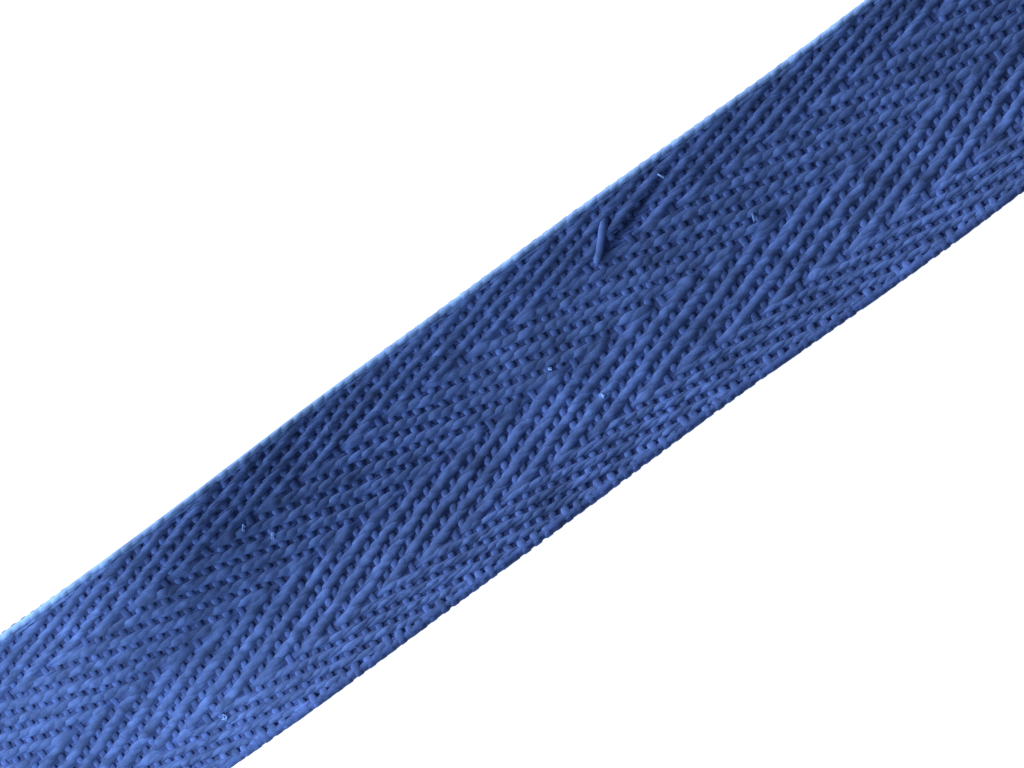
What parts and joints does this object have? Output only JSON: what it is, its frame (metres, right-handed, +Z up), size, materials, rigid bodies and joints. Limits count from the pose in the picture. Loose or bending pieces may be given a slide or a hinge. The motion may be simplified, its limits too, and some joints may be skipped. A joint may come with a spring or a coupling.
{
  "type": "cut length of herringbone twill tape",
  "caption": "Cut length of blue cotton twill tape in a herringbone weave, lying loosely with a low slanting swell.",
  "frame": {"origin": "middle of the tape's box, at the level of the surface that it lies on", "axes": "+X along the tape, +Y across it to the far selvage, +Z up from the surface"},
  "size_m": [0.15, 0.0204, 0.0074],
  "materials": {
    "cotton": "matt dyed cotton yarn with a fine fuzz"
  },
  "bodies": {
    "root": {"tape": "cotton"}
  },
  "joints": []
}
